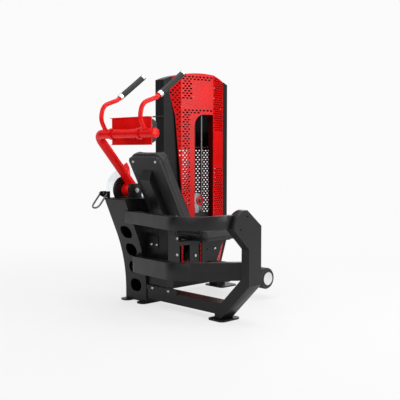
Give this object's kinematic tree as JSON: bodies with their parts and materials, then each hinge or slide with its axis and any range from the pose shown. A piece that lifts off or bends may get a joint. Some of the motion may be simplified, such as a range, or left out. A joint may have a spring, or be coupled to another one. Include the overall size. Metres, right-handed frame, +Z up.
{
  "type": "abdominal crunch machine",
  "caption": "Seated abdominal crunch machine: pivoting arm with chest pad and handles, curved guard bands, foot rollers and a cable-driven weight tower.",
  "frame": {"origin": "centre of the floor rectangle that the machine covers, on the floor", "axes": "+X to the seated user's right, +Y the way the user faces, +Z up"},
  "size_m": [1.16, 1.2934, 1.575],
  "materials": {
    "black_paint": "textured powder coat, satin black",
    "red_paint": "gloss red enamel",
    "red_sheet": "gloss red enamel on perforated sheet",
    "upholstery": "black vinyl upholstery",
    "ply": "black moulded backing board",
    "foam": "dense foam roller, satin black",
    "grip_rubber": "ribbed rubber grip",
    "chrome": "polished chrome",
    "steel": "bright turned steel",
    "cast_plate": "painted cast iron",
    "nylon": "black nylon",
    "red_nylon": "red moulded nylon",
    "cable": "black coated steel cable",
    "clear": "clear polycarbonate"
  },
  "bodies": {
    "frame": {"foot_plates": "black_paint", "right_column": "black_paint", "near_cross_beam": "black_paint", "left_column": "black_paint", "side_base_beam": "black_paint", "top_deck": "black_paint", "upper_band": "black_paint", "lower_band": "black_paint", "centre_post": "black_paint", "column_web": "black_paint", "seat_rail": "black_paint", "seat_side_plates": "black_paint", "idler_bracket": "black_paint", "seat_board": "ply", "seat_cushion": "upholstery", "backrest_beam": "black_paint", "backrest_board": "ply", "backrest_cushion": "upholstery", "roller_arm": "black_paint", "roller_axle": "steel", "roller_caps": "chrome", "tower_left_upright": "black_paint", "tower_right_upright": "black_paint", "tower_cap": "black_paint", "rear_panel": "black_paint", "rear_grille": "black_paint", "front_cover": "black_paint", "front_shroud": "red_sheet", "guide_rods": "chrome", "rod_crossbar": "black_paint", "weight_plates": "cast_plate", "pulley_axles": "steel", "pulley_brackets": "black_paint", "pivot_bearings": "black_paint", "cam_guard": "clear", "drive_cable": "cable", "stack_cable": "cable", "rom_lugs": "black_paint", "side_hook": "black_paint", "frame_bolts": "chrome"},
    "arm": {"pivot_shaft": "steel", "cam_disc": "black_paint", "crunch_arm": "red_paint", "handle_bars": "red_paint", "grips": "grip_rubber", "grip_fittings": "chrome", "pad_bracket": "red_paint", "chest_pad": "upholstery"},
    "stack": {"lifted_plates": "cast_plate", "stack_yoke": "steel", "yoke_roller": "red_nylon"},
    "pin": {"selector_pin": "red_nylon"},
    "roller_right": {"foot_roller_right": "foam"},
    "roller_left": {"foot_roller_left": "foam"},
    "idler": {"idler_wheel": "nylon"},
    "base_front_pulley": {"base_pulley_front": "nylon"},
    "base_rear_pulley": {"base_pulley_rear": "nylon"},
    "top_left_pulley": {"top_pulley_left": "nylon"},
    "top_middle_pulley": {"top_pulley_middle": "nylon"},
    "range_loop": {"rom_loop": "steel"}
  },
  "joints": [
    {"name": "crunch_arm_hinge", "type": "hinge", "parent": "frame", "child": "arm", "pos_m": [-0.47491, -0.31228, 0.757], "axis": [-1, 0, 0], "range_deg": [0, 60]},
    {"name": "stack_slide", "type": "slide", "parent": "frame", "child": "stack", "axis": [0, 0, 1], "range_m": [0, 0.095], "deforming": ["stack_cable"]},
    {"name": "selector_pin_pull", "type": "slide", "parent": "stack", "child": "pin", "axis": [1, 0, 0], "range_m": [0, 0.06]},
    {"name": "right_roller_spin", "type": "hinge", "parent": "frame", "child": "roller_right", "pos_m": [0.04109, 0.40572, 0.144], "axis": [1, 0, 0], "continuous": true},
    {"name": "left_roller_spin", "type": "hinge", "parent": "frame", "child": "roller_left", "pos_m": [-0.31891, 0.40572, 0.144], "axis": [1, 0, 0], "continuous": true},
    {"name": "idler_spin", "type": "hinge", "parent": "frame", "child": "idler", "pos_m": [-0.16891, -0.02428, 0.32], "axis": [1, 0, 0], "continuous": true},
    {"name": "base_front_spin", "type": "hinge", "parent": "frame", "child": "base_front_pulley", "pos_m": [-0.52991, -0.18228, 0.17], "axis": [1, 0, 0], "range_deg": [-136, 0]},
    {"name": "base_rear_spin", "type": "hinge", "parent": "frame", "child": "base_rear_pulley", "pos_m": [-0.52991, 0.09272, 0.17], "axis": [1, 0, 0], "range_deg": [-136, 0]},
    {"name": "top_left_spin", "type": "hinge", "parent": "frame", "child": "top_left_pulley", "pos_m": [-0.52991, 0.17272, 1.41], "axis": [1, 0, 0], "range_deg": [0, 136]},
    {"name": "top_middle_spin", "type": "hinge", "parent": "frame", "child": "top_middle_pulley", "pos_m": [-0.52991, 0.30972, 1.41], "axis": [1, 0, 0], "range_deg": [0, 136]},
    {"name": "range_loop_hinge", "type": "hinge", "parent": "frame", "child": "range_loop", "pos_m": [-0.53391, -0.48028, 0.738], "axis": [-1, 0, 0], "range_deg": [0, 40]}
  ],
  "couplings": [
    {"joint": "stack_slide", "follows": "crunch_arm_hinge", "m_per_rad": 0.09},
    {"joint": "base_front_spin", "follows": "crunch_arm_hinge", "ratio": -2.25},
    {"joint": "base_rear_spin", "follows": "crunch_arm_hinge", "ratio": -2.25},
    {"joint": "top_left_spin", "follows": "crunch_arm_hinge", "ratio": 2.25},
    {"joint": "top_middle_spin", "follows": "crunch_arm_hinge", "ratio": 2.25}
  ]
}
